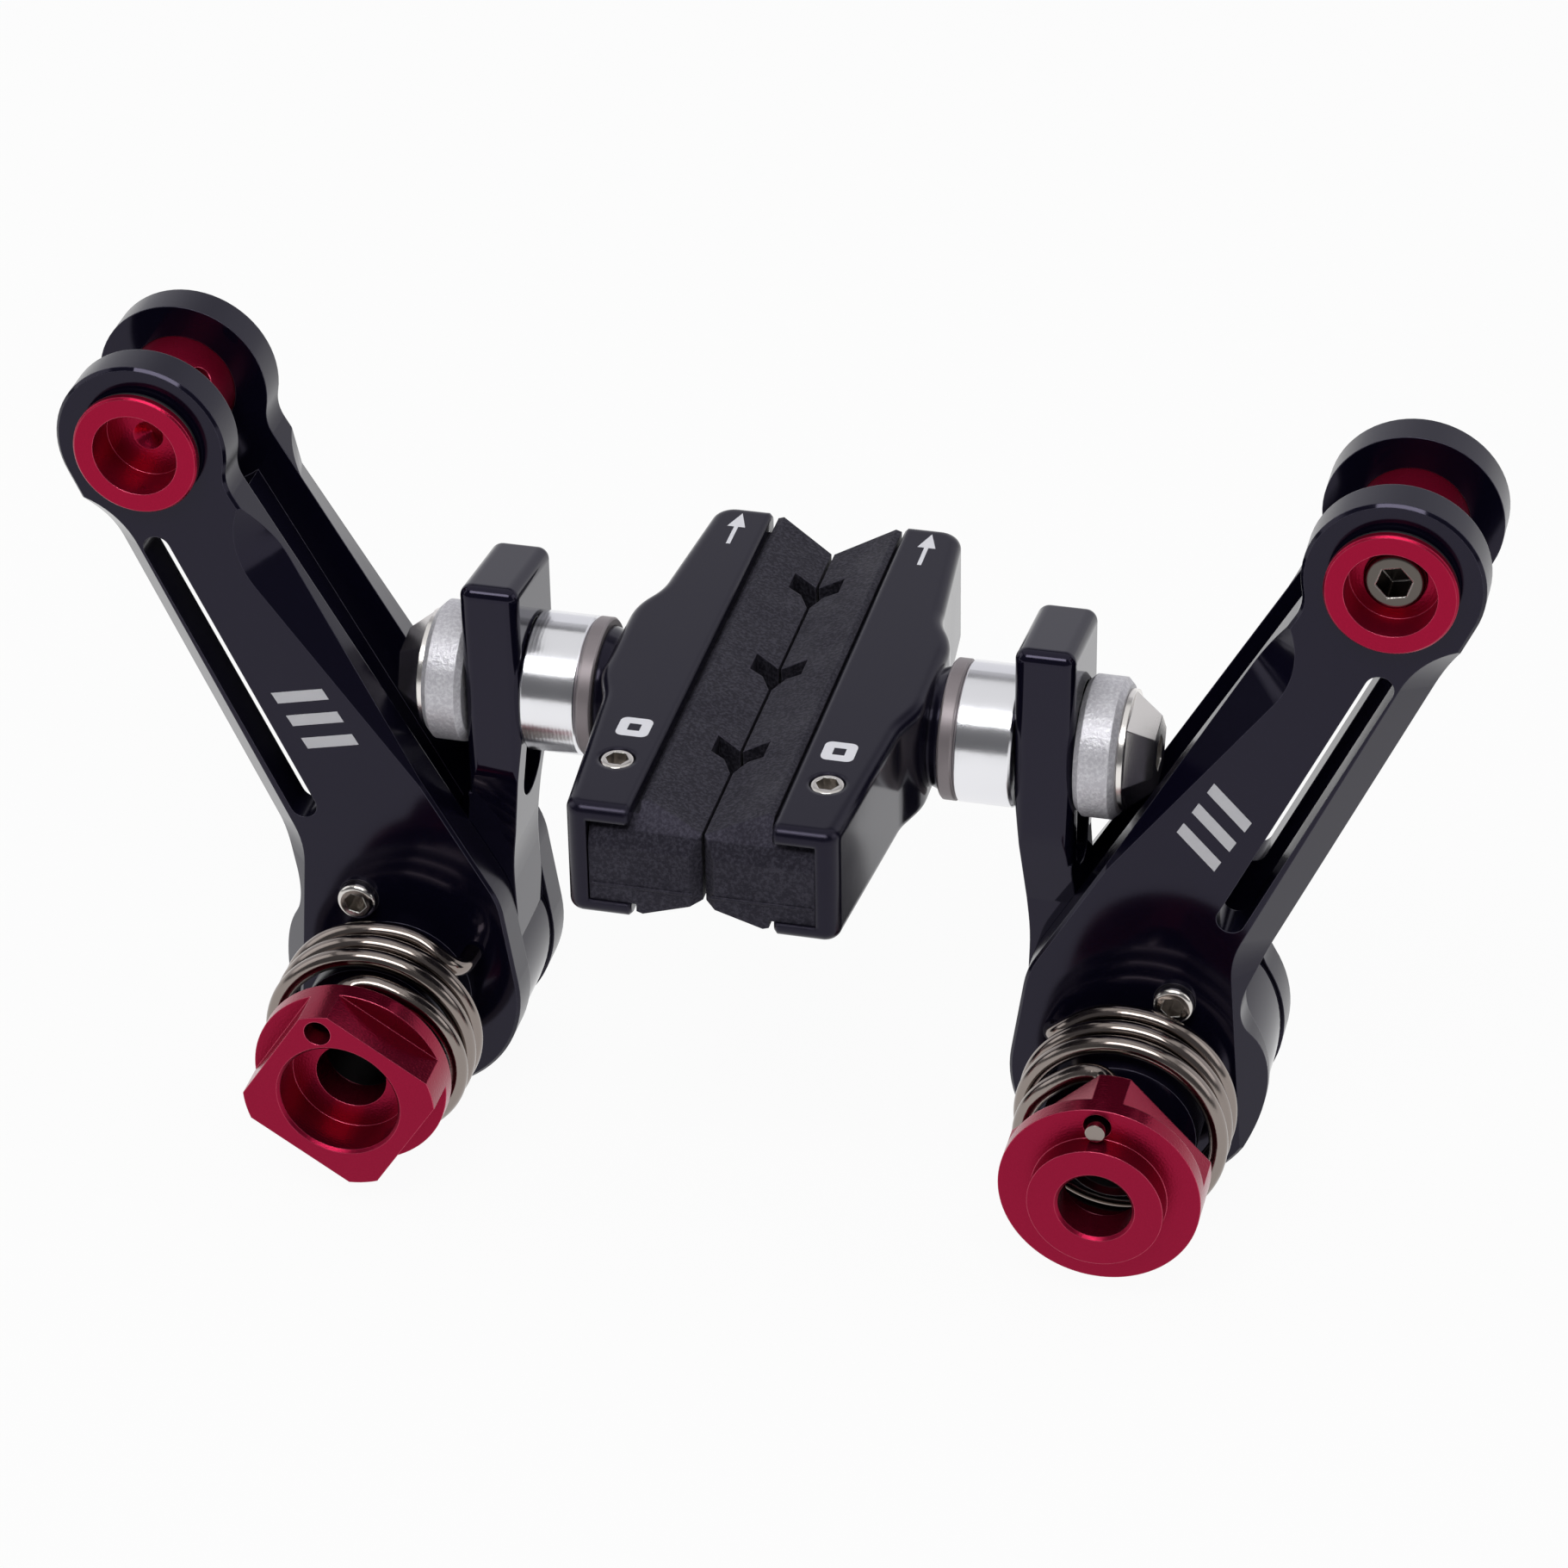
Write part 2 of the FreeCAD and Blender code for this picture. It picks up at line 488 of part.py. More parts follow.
def return_spring(side):
    # One wire: a short tail at the arm, the coil, and a leg that hooks into the nut.
    hook = math.radians(HOOK_ANGLE[side])
    hook_x, hook_z = PIVOT_X + HOOK_R * math.cos(hook), HOOK_R * math.sin(hook)
    reach = NUT_FACE[side] + (1.0 if side == "right" else 2.6)
    last = HOOK_ANGLE[side] + math.degrees(math.atan2(HOOK_BEND, HOOK_R))
    last_r = math.hypot(HOOK_R, HOOK_BEND)
    sweep = 1080.0 + TAIL_ANGLE - last
    coil_y, pitch = COIL_Y[side], PITCH[side]

    def at(angle, r, y):
        return V(PIVOT_X + r * math.cos(math.radians(angle)), y, r * math.sin(math.radians(angle)))

    rise = int((-1.1 - coil_y) / 1.5)
    path = [at(TAIL_ANGLE + (7.4 if rise else 9.0), COIL_R, -0.42), at(TAIL_ANGLE + 7, COIL_R, -1.1)]
    for k in range(rise):
        share = (k + 1) / (rise + 1)
        path.append(at(TAIL_ANGLE + 7 - 5 * share * share, COIL_R, -1.1 + (coil_y + 1.1) * share))
    steps = int(sweep / 22.5)
    for k in range(steps):
        close = max(0.0, 1.0 - (steps - k) / 5.0)
        r = COIL_R + (last_r - COIL_R) * close * close * (3.0 - 2.0 * close)
        path.append(at(TAIL_ANGLE - sweep * k / steps, r, coil_y - pitch * sweep / 360.0 * k / steps))
    bend_y = coil_y - pitch * sweep / 360.0
    for turn in (0.0, 30.0, 60.0, 90.0):
        short = HOOK_BEND * (1.0 - math.sin(math.radians(turn)))
        drop = HOOK_BEND * (1.0 - math.cos(math.radians(turn)))
        path.append(V(hook_x - short * math.sin(hook), bend_y - drop, hook_z + short * math.cos(hook)))
    leg_y = bend_y - HOOK_BEND
    path += [V(hook_x, leg_y + (reach - leg_y) * k / 4.0, hook_z) for k in (1, 2, 3, 4)]
    curve = Part.BSplineCurve()
    curve.interpolate(path)
    start = curve.tangent(curve.FirstParameter)[0]
    pipe = Part.BRepOffsetAPI.MakePipeShell(Part.Wire([curve.toShape()]))
    pipe.add(Part.Wire([Part.Circle(path[0], start, WIRE_R).toShape()]))
    pipe.build()
    pipe.makeSolid()
    return pipe.shape()


def save(name, shape):
    solids = shape.Solids
    print(name, len(solids), "solid", shape.isValid(), round(sum(s.Volume for s in solids), 1))
    (solids[0] if len(solids) == 1 else shape).exportStep("parts/" + name + ".step")


os.makedirs("parts", exist_ok=True)

both = {
    "cable_arm": cable_arm(),
    "pad_arm": pad_arm(),
    "pivot_sleeve": pivot_sleeve(),
    "adjusting_screw": adjusting_screw(),
    "barrel_o_ring": barrel_o_ring(),
    "pad_holder": pad_holder(),
    "pad_insert": pad_insert(),
    "insert_screw": insert_screw(),
    "pad_stud": pad_stud(),
    "stud_washer": ring_x(WASHER_R, 3.3, GREY_X[0], GREY_X[1], 0.2),
    "stud_spacer": ring_x(WASHER_R, STUD_R + RUN, SPACER_X[0], SPACER_X[1], 0.25),
    "clamp_washer": ring_x(WASHER_R, 3.3, CLAMP_X[0], CLAMP_X[1], 0.6),
    "stud_nut": stud_nut(),
}
for name, shape in both.items():
    save(name + "_right", shape)
    save(name + "_left", mirrored(shape))

save("cable_barrel_right", cable_barrel("right"))
save("cable_barrel_left", mirrored(cable_barrel("left")))
save("cable_pinch_screw_right", cable_pinch_screw())
save("tension_nut_right", tension_nut("right"))
save("tension_nut_left", tension_nut("left"))
save("return_spring_right", return_spring("right"))
save("return_spring_left", mirrored(return_spring("left")))
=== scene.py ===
# %% [markdown]
# # A pair of cantilever brake arms
# The solids of this brake come ready from the CAD model, each in its own
# place, so they are loaded as a fixed frame. This lesson adds what the solids
# lack: the finishes, the small marks, the studio and the camera. Lengths are
# in metres.

# %% Load the solids
import json
import math
import bpy
from mathutils import Matrix, Vector


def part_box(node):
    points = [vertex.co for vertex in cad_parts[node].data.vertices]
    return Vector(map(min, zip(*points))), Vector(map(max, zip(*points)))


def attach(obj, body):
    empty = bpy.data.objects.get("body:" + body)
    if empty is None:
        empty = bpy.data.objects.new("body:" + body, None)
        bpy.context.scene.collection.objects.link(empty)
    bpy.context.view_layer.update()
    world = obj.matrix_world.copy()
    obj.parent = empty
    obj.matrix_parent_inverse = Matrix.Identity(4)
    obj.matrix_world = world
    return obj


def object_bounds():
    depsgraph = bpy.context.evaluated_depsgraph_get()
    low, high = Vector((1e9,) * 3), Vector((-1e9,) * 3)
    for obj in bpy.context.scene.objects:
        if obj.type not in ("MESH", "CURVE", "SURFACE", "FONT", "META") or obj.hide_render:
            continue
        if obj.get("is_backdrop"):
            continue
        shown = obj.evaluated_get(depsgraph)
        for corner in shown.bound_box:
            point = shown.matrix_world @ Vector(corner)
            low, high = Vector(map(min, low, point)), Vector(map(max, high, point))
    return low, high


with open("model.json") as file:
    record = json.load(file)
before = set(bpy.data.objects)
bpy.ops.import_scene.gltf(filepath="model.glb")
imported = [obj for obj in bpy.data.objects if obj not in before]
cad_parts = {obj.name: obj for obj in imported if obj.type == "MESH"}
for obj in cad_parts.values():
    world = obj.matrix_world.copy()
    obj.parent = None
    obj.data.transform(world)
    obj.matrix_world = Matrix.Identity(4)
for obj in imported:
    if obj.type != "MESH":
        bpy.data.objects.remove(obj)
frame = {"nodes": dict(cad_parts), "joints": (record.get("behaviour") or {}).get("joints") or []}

cad_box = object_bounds()
bpy.ops.object.select_all(action="DESELECT")
SIDES = (("left", -1), ("right", 1))
print("solids:", len(frame["nodes"]))
print("box in mm:", [round(1000 * x, 1) for x in cad_box[1] - cad_box[0]])

# %% [markdown]
# ## Camera
# A product picture of a small part is taken from a little way off with a long
# lens, so that the near arm isn't much larger than the far one. The camera
# looks down on the pair at 33 degrees and is turned a little to the right. Its
# axes are worked out from the eye and the point it looks at, and then rolled
# by one degree, because a hand-held frame is seldom quite level.

# %% Camera
eye = Vector((0.113233, -0.433010, 0.319845))
aim = Vector((0.002696, 0.0, 0.029833))
roll = math.radians(-0.987)
sensor_mm, lens_mm = 36.0, 126.785
ahead = (aim - eye).normalized()
level = ahead.cross(Vector((0, 0, 1))).normalized()
above = level.cross(ahead)
rolled_right = math.cos(roll) * level + math.sin(roll) * above
rolled_up = math.cos(roll) * above - math.sin(roll) * level
axes = Matrix((rolled_right, rolled_up, -ahead)).transposed()
bpy.ops.object.camera_add()
camera = bpy.context.object
camera.matrix_world = Matrix.Translation(eye) @ axes.to_4x4()
camera.data.sensor_width = sensor_mm
camera.data.lens = lens_mm
bpy.context.scene.camera = camera
print("camera is", round((eye - aim).length, 3), "m away")

# %% [markdown]
# ## Nodes
# The floor, the room and the finishes are all trees of shader nodes. Placing a
# node and setting its values is the same few lines each time, so a helper takes
# the values by name: one that names a socket goes there, with underscores for
# its spaces, and any other is set on the node. Two nodes come back often enough
# to have a helper of their own: a ramp, which turns one range of numbers into
# another, and a Math node that joins two values.

# %% Helpers for nodes
def place_node(tree, kind, **settings):
    made = tree.nodes.new("ShaderNode" + kind)
    for key, value in settings.items():
        socket = key.replace("_", " ")
        if socket in made.inputs.keys():
            made.inputs[socket].default_value = value
        else:
            setattr(made, key, value)
    return made

def ramp(tree, source, start, stop, low=0.0, high=1.0, shape="LINEAR"):
    made = place_node(tree, "MapRange", interpolation_type=shape,
                      From_Min=start, From_Max=stop, To_Min=low, To_Max=high)
    tree.links.new(source, made.inputs["Value"])
    return made.outputs["Result"]

def combine(tree, operation, first, second):
    made = place_node(tree, "Math", operation=operation)
    tree.links.new(first, made.inputs[0])
    tree.links.new(second, made.inputs[1])
    return made.outputs[0]

# %% [markdown]
# ## Floor
# The brake is shown on white. A white floor alone would turn grey where the
# lamps fall off, so most of what the camera sees of it is its own even light,
# and the rest is plain paint that still takes the soft shadow. Mirrors see the
# same floor as the camera, so the bright metal stays true to the picture.

# %% Floor
floor_size, floor_gap = 8.0, 0.0006
bpy.context.scene.view_settings.view_transform = "Standard"
bpy.ops.object.select_all(action="DESELECT")
bpy.ops.mesh.primitive_plane_add(
    size=floor_size, location=(0, 0, cad_box[0].z - floor_gap))
floor = bpy.context.object
floor.name = "studio_floor"
floor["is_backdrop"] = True
print("floor at", round(1000 * floor.location.z, 2), "mm")

# %% White paper
paper_grey, own_light = 0.55, 0.95
paper = bpy.data.materials.new("white_paper")
paper.use_nodes = True
paper_tree = paper.node_tree
paper_tree.nodes.clear()
paint = place_node(paper_tree, "BsdfDiffuse", Color=(*[paper_grey] * 3, 1))
even_light = place_node(paper_tree, "Emission")
ray = place_node(paper_tree, "LightPath").outputs
direct = combine(paper_tree, "MAXIMUM", ray["Is Camera Ray"], ray["Is Glossy Ray"])
seen = combine(paper_tree, "MAXIMUM", direct, ray["Is Transmission Ray"])
mixed = place_node(paper_tree, "MixShader")
surface = place_node(paper_tree, "OutputMaterial")
paper_tree.links.new(ramp(paper_tree, seen, 0.0, 1.0, high=own_light), mixed.inputs[0])
paper_tree.links.new(paint.outputs[0], mixed.inputs[1])
paper_tree.links.new(even_light.outputs[0], mixed.inputs[2])
paper_tree.links.new(mixed.outputs[0], surface.inputs["Surface"])
floor.data.materials.append(paper)
print(paper.name, "gives", own_light, "of what is seen by itself")

# %% [markdown]
# ## Studio light
# Black gloss and bright metal show nothing but what they mirror, so the room is
# built for its reflections. A white sweep rises behind the brake and fades into
# a dim room, dark on the camera's side: that is the world, whose strength is a
# glow behind, times a glow that is low, on top of a dim rest.

# %% Room
room_colour = (0.96, 0.96, 1.0, 1)
behind_from, behind_to = -0.25, 0.35
high_up, low_down = 0.80, 0.45
dim, bright = 0.14, 0.80
world = bpy.data.worlds.new("dim_room")
bpy.context.scene.world = world
world.use_nodes = True
room = world.node_tree
direction = place_node(room, "TexCoord")
towards = place_node(room, "SeparateXYZ")
room.links.new(direction.outputs["Generated"], towards.inputs["Vector"])
behind = ramp(room, towards.outputs["Y"], behind_from, behind_to, shape="SMOOTHSTEP")
lower = ramp(room, towards.outputs["Z"], high_up, low_down, shape="SMOOTHSTEP")
sweep = combine(room, "MULTIPLY", behind, lower)
background = room.nodes["Background"].inputs
background["Color"].default_value = room_colour
room.links.new(ramp(room, sweep, 0.0, 1.0, dim, bright), background["Strength"])
print("room from", dim, "to", bright)

# %% [markdown]
# The lamps are soft panels. The key hangs high in front: it is small and bright,
# because it draws the crisp lines along every rounded black edge. A wide dim
# panel overhead fills the metal, and one on each side shapes the bevels. A panel
# is set by its brightness, and Blender wants its power, which is brightness
# times area times pi.

# %% Panels
def soft_panel(name, place, width, height, brightness):
    bpy.ops.object.light_add(type="AREA", location=place)
    panel = bpy.context.object
    panel.name = name
    panel.data.shape = "RECTANGLE"
    panel.data.size, panel.data.size_y = width, height
    panel.data.energy = brightness * math.pi * width * height
    to_brake = aim - Vector(place)
    panel.rotation_euler = to_brake.to_track_quat("-Z", "Y").to_euler()
    panel.visible_camera = False
    print(name, "has", round(panel.data.energy, 2), "W")

soft_panel("panel_key", (0.0, -0.60, 0.90),
           width=0.80, height=0.36, brightness=7.0)
soft_panel("panel_overhead", (0.0, 0.12, 1.00),
           width=1.7, height=1.1, brightness=0.65)
soft_panel("panel_left", (-0.95, -0.10, 0.50),
           width=0.6, height=0.7, brightness=1.0)
soft_panel("panel_right", (0.95, -0.05, 0.50),
           width=0.6, height=0.7, brightness=1.0)

# %% [markdown]
# ## Effects that several finishes share
# Four effects come back in many finishes, so each is a node group with named
# sockets. The first rounds the normal at every sharp edge and gives a mask of
# those edges, because no real edge is perfectly sharp; the finishes lighten
# their colour along that mask, a painted edge highlight with a little edge wear.
# It reads the shape itself, so it needs no extra geometry. The second is a grain
# in two sizes. The third is the fine lines that a lathe leaves round a turned
# piece: rings on its faces and bands along its sides. The fourth tells the walls
# of a plate from its faces, because a milled wall is duller than a polished face.

# %% Helper for node groups
def begin_group(name, inputs, outputs):
    group = bpy.data.node_groups.new(name, "ShaderNodeTree")
    for way, sockets in (("INPUT", inputs), ("OUTPUT", outputs)):
        for socket, kind in sockets.items():
            group.interface.new_socket(
                socket, in_out=way, socket_type="NodeSocket" + kind)
    entry = group.nodes.new("NodeGroupInput").outputs
    result = group.nodes.new("NodeGroupOutput").inputs
    print("group", name)
    return group, entry, result

# %% Soft edges
straight, bent = 0.995, 0.80
soft_edges, edge_in, edge_out = begin_group(
    "soft_edges", {"Width": "Float"}, {"Mask": "Float", "Normal": "Vector"})
rounded = place_node(soft_edges, "Bevel", samples=6)
facing = place_node(soft_edges, "NewGeometry")
agreed = place_node(soft_edges, "VectorMath", operation="DOT_PRODUCT")
soft_edges.links.new(edge_in["Width"], rounded.inputs["Radius"])
soft_edges.links.new(rounded.outputs["Normal"], agreed.inputs[0])
soft_edges.links.new(facing.outputs["Normal"], agreed.inputs[1])
# This mask lightens the colour at sharp edges: a painted edge highlight, with a little edge
# wear.
edge_highlight_and_wear_mask = ramp(soft_edges, agreed.outputs["Value"], straight, bent)
soft_edges.links.new(edge_highlight_and_wear_mask, edge_out["Mask"])
soft_edges.links.new(rounded.outputs["Normal"], edge_out["Normal"])

# %% Grain
grain, grain_in, grain_out = begin_group(
    "grain",
    {"Vector": "Vector", "Fine Scale": "Float", "Broad Scale": "Float"},
    {"Fine": "Float", "Broad": "Float"})
for size, detail, roughness in (("Fine", 2.0, 0.6), ("Broad", 3.0, 0.5)):
    noise = place_node(grain, "TexNoise", Detail=detail, Roughness=roughness)
    grain.links.new(grain_in["Vector"], noise.inputs["Vector"])
    grain.links.new(grain_in[size + " Scale"], noise.inputs["Scale"])
    grain.links.new(noise.outputs["Fac"], grain_out[size])

# %% Lathe lines
lathe_lines, lathe_in, lathe_out = begin_group(
    "lathe_lines", {"Vector": "Vector", "Scale": "Float"}, {"Height": "Float"})
uneven = {"Distortion": 1.5, "Detail": 2.0}
rings = place_node(lathe_lines, "TexWave", wave_type="RINGS",
                   rings_direction="Y", **uneven)
bands = place_node(lathe_lines, "TexWave", wave_type="BANDS",
                   bands_direction="Y", **uneven)
for wave in (rings, bands):
    lathe_lines.links.new(lathe_in["Vector"], wave.inputs["Vector"])
    lathe_lines.links.new(lathe_in["Scale"], wave.inputs["Scale"])
both_lines = combine(lathe_lines, "ADD", rings.outputs["Fac"], bands.outputs["Fac"])
lathe_lines.links.new(both_lines, lathe_out["Height"])

# %% Walls
face_from, wall_from = 0.25, 0.05
plate_walls, wall_in, wall_out = begin_group(
    "plate_walls", {"Normal": "Vector"}, {"Mask": "Float"})
apart = place_node(plate_walls, "SeparateXYZ")
forwards = place_node(plate_walls, "Math", operation="ABSOLUTE")
plate_walls.links.new(wall_in["Normal"], apart.inputs["Vector"])
plate_walls.links.new(apart.outputs["Y"], forwards.inputs[0])
wall_mask = ramp(plate_walls, forwards.outputs[0], face_from, wall_from)
plate_walls.links.new(wall_mask, wall_out["Mask"])

# %% [markdown]
# ## How a finish is put together
# Every finish here is one Principled shader. What is the same all over is set
# on the shader. What changes over the surface comes from the groups: the edge
# mask lightens the colour, the grain moves the roughness, and grain or lathe
# lines give the relief. Colour, roughness and relief have a function each, and
# a recipe with plain words for its values calls them, which keeps the finishes
# easy to compare. A Mix node holds sockets for every kind of value under the
# same names, so those are told apart by number.

# %% Colour of a finish
MIX_SHARE, NUMBER_A, NUMBER_B, COLOUR_A, COLOUR_B = 0, 2, 3, 6, 7
MIXED_NUMBER, MIXED_COLOUR = 0, 2
speck_from, speck_full = 0.42, 0.66

# On sharp edges the edge colour is a painted edge highlight with a little wear; in the speckles
# it is the real grain.
def edge_tint(tree, colour, edge_highlight_wear_and_speck_colour, speckle, edges, texture):
    share = edges["Mask"]
    if speckle:
        specks = ramp(tree, texture["Fine"], speck_from, speck_full, high=speckle)
        share = combine(tree, "MAXIMUM", specks, share)
    tint = place_node(tree, "Mix", data_type="RGBA")
    tint.inputs[COLOUR_A].default_value = (*colour, 1)
    tint.inputs[COLOUR_B].default_value = (*edge_highlight_wear_and_speck_colour, 1)
    tree.links.new(share, tint.inputs[MIX_SHARE])
    return tint.outputs[MIXED_COLOUR]

# %% Roughness of a finish
grain_low, grain_high = 0.3, 0.7

def grain_roughness(tree, rough, wall_rough, place, texture):
    faces = ramp(tree, texture["Broad"], grain_low, grain_high, *rough)
    if wall_rough is None:
        return faces
    walls = ramp(tree, texture["Broad"], grain_low, grain_high, *wall_rough)
    wall = place_node(tree, "Group", node_tree=plate_walls)
    either = place_node(tree, "Mix", data_type="FLOAT")
    tree.links.new(place["Normal"], wall.inputs["Normal"])
    tree.links.new(wall.outputs["Mask"], either.inputs[MIX_SHARE])
    tree.links.new(faces, either.inputs[NUMBER_A])
    tree.links.new(walls, either.inputs[NUMBER_B])
    return either.outputs[MIXED_NUMBER]

# %% Relief of a finish
def bump(tree, height, depth, normal):
    made = place_node(tree, "Bump", Strength=1.0, Distance=depth)
    tree.links.new(height, made.inputs["Height"])
    tree.links.new(normal, made.inputs["Normal"])
    return made.outputs["Normal"]

def lathe_relief(tree, centre, along_x, lines, depth, place, normal):
    # The lines run about the Y axis, so a piece on the X axis is turned first.
    quarter = math.radians(90) if along_x else 0.0
    moved = Vector((-centre.y, centre.x, centre.z)) if along_x else centre
    onto_axis = place_node(tree, "Mapping", Location=-moved,
                           Rotation=(0, 0, quarter))
    marks = place_node(tree, "Group", node_tree=lathe_lines, Scale=lines)
    tree.links.new(place["Object"], onto_axis.inputs["Vector"])
    tree.links.new(onto_axis.outputs["Vector"], marks.inputs["Vector"])
    return bump(tree, marks.outputs["Height"], depth, normal)

# %% The recipe
def make_finish(name, colour, edge_highlight_wear_and_speck_colour, metallic, rough, wall_rough=None,
                shine=0.5, mirror_tint=(1.0, 1.0, 1.0), edge=180e-6,
                fine=3000.0, broad=90.0, grain_depth=2e-6, speckle=0.0,
                centre=None, along_x=False, lines=900.0, line_depth=2e-6):
    finish = bpy.data.materials.new(name)
    finish.use_nodes = True
    tree = finish.node_tree
    shader = tree.nodes["Principled BSDF"].inputs
    shader["Metallic"].default_value = metallic
    shader["Specular IOR Level"].default_value = shine
    shader["Specular Tint"].default_value = (*mirror_tint, 1)
    place = place_node(tree, "TexCoord").outputs
    edges = place_node(tree, "Group", node_tree=soft_edges, Width=edge).outputs
    grains = place_node(tree, "Group", node_tree=grain,
                        Fine_Scale=fine, Broad_Scale=broad)
    tree.links.new(place["Object"], grains.inputs["Vector"])
    texture = grains.outputs
    tint = edge_tint(tree, colour, edge_highlight_wear_and_speck_colour, speckle, edges, texture)
    roughness = grain_roughness(tree, rough, wall_rough, place, texture)
    normal = bump(tree, texture["Fine"], grain_depth, edges["Normal"])
    if centre is not None:
        normal = lathe_relief(tree, centre, along_x, lines, line_depth, place, normal)
    tree.links.new(tint, shader["Base Color"])
    tree.links.new(roughness, shader["Roughness"])
    tree.links.new(normal, shader["Normal"])
    return finish

# %% Helpers for dressing
def both(piece):
    return [piece + "_" + side for side, mirror in SIDES]

def dress(finish, *pieces):
    for piece in pieces:
        for held in frame["nodes"][piece].material_slots:
            held.material = finish
    print(finish.name, "on", ", ".join(pieces))

axis_at = {joint["name"]: Vector(joint["pos_m"])
           for joint in frame["joints"] if "pos_m" in joint}
print("axes known:", len(axis_at))

# %% [markdown]
# ## Black arms and holders
# The cable arms are milled from aluminium and anodised black: their faces and
# bevels have a deep gloss with a cold tint, and their milled walls are satin.
# The pad arms have a smoother coat, more like lacquer, and the pad holders a
# thinner one. None is a bare metal any more, so all three are plain dark
# surfaces with a clear mirror on top and not dark metals.

# %% Black arms and holders
# The lighter edge colours of these black finishes are painted edge highlights, with a little
# edge wear.
cold = (0.78, 0.72, 1.0)
blue_black = (0.0026, 0.0022, 0.0075)
dress(make_finish("anodised_black", blue_black, (0.075, 0.073, 0.094), 0.0,
                  rough=(0.09, 0.14), wall_rough=(0.20, 0.28), shine=0.34,
                  mirror_tint=cold, edge=140e-6, fine=1800.0, broad=60.0,
                  grain_depth=0.6e-6),
      *both("cable_arm"))
dress(make_finish("lacquer_black", blue_black, (0.015, 0.015, 0.022), 0.0,
                  rough=(0.05, 0.08), shine=0.36, mirror_tint=cold,
                  edge=200e-6, fine=700.0, broad=80.0, grain_depth=0.8e-6),
      *both("pad_arm"))
dress(make_finish("holder_black", (0.0050, 0.0044, 0.0100),
                  (0.014, 0.013, 0.020), 0.0, rough=(0.10, 0.15), shine=0.28,
                  mirror_tint=cold, edge=550e-6, fine=900.0, broad=80.0,
                  grain_depth=0.8e-6),
      *both("pad_holder"))

# %% [markdown]
# ## Red anodised pieces
# The barrels and the tension nuts are turned aluminium dyed crimson. The dye
# lies in a clear skin over bright metal, so the whole mirror is red: a metal
# with a red base colour. A little of the light is scattered in the dyed skin
# itself, so the piece isn't quite all metal. The edges are a lighter red, a
# painted edge highlight with a little edge wear. Each piece has its lathe lines
# about its own axis, taken from its joint.

# %% Red anodised pieces
crimson, barrel_crimson = (0.285, 0.0075, 0.036), (0.33, 0.0065, 0.036)
crimson_edge_highlight_and_wear = (0.72, 0.11, 0.19)
for side, mirror in SIDES:
    dress(make_finish("crimson_nut_" + side, crimson, crimson_edge_highlight_and_wear, 0.85,
                      rough=(0.26, 0.38), wall_rough=(0.16, 0.24), shine=0.15,
                      edge=160e-6, fine=4200.0, grain_depth=22e-6,
                      centre=axis_at["tension_%s_turn" % side]),
          "tension_nut_" + side)
    dress(make_finish("crimson_barrel_" + side, barrel_crimson, crimson_edge_highlight_and_wear,
                      0.78, rough=(0.22, 0.34), shine=0.12, edge=140e-6,
                      fine=4200.0, grain_depth=18e-6,
                      centre=axis_at["barrel_%s_turn" % side]),
          "cable_barrel_" + side)

# %% [markdown]
# ## Bright metal
# The spring is nickel-plated wire, warmer than steel and a little worn. The
# small screws and the studs are plated steel. The sleeves in the hubs have a
# dark colour, which paints the shade inside the bores, and a dull finish. The
# screw that pinches the cable is painted dark, which paints the shade of its
# socket, and its rim is a painted highlight.

# %% Springs, screws and sleeves
dress(make_finish("spring_nickel", (0.27, 0.232, 0.212), (0.46, 0.40, 0.365),
                  1.0, rough=(0.10, 0.20), edge=100e-6, fine=1500.0,
                  broad=140.0),
      *both("return_spring"))
dress(make_finish("plated_steel", (0.66, 0.63, 0.60), (0.85, 0.83, 0.80), 1.0,
                  rough=(0.14, 0.24), edge=120e-6, fine=2500.0,
                  grain_depth=1e-6),
      *both("adjusting_screw"), *both("insert_screw"), *both("pad_stud"))
# Dark base colour: painted shade of the socket. Bright wide edge colour: painted rim highlight.
dress(make_finish("painted_socket_shade_rim_highlight_steel", (0.115, 0.102, 0.092), (0.86, 0.84, 0.81),
                  1.0, rough=(0.14, 0.22), edge=280e-6, fine=2500.0,
                  grain_depth=1e-6),
      "cable_pinch_screw_right")
# The sleeves' dark colour is painted shade inside the bores.
dress(make_finish("painted_bore_shade_steel", (0.055, 0.053, 0.055), (0.14, 0.14, 0.145),
                  0.8, rough=(0.30, 0.40)),
      *both("pivot_sleeve"))

# %% [markdown]
# Four pieces stand beside each other on each pad's stud, so their roughness is
# what tells them apart: a dull washer, a polished spacer, a clamp washer that
# is blasted to a pale matt skin, and a plated conical nut. Only the spacer
# shows its lathe lines, which run about the stud, along X.

# %% The stack on the stud
for side, mirror in SIDES:
    dress(make_finish("polished_spacer_" + side, (0.84, 0.84, 0.87),
                      (0.95, 0.95, 0.96), 1.0, rough=(0.16, 0.26), fine=1300.0,
                      grain_depth=7e-6, centre=axis_at["pad_%s_tilt" % side],
                      along_x=True, lines=800.0, line_depth=1.5e-6),
          "stud_spacer_" + side)
dress(make_finish("blasted_washer", (0.55, 0.54, 0.58), (0.86, 0.86, 0.88),
                  0.45, rough=(0.40, 0.50), fine=2800.0, grain_depth=60e-6,
                  speckle=0.5),
      *both("clamp_washer"))
dress(make_finish("dull_washer", (0.25, 0.22, 0.23), (0.36, 0.33, 0.33), 0.5,
                  rough=(0.38, 0.48), fine=2600.0, grain_depth=4e-6),
      *both("stud_washer"))
dress(make_finish("plated_nut", (0.84, 0.81, 0.78), (0.95, 0.93, 0.91), 1.0,
                  rough=(0.18, 0.28), fine=1500.0),
      *both("stud_nut"))

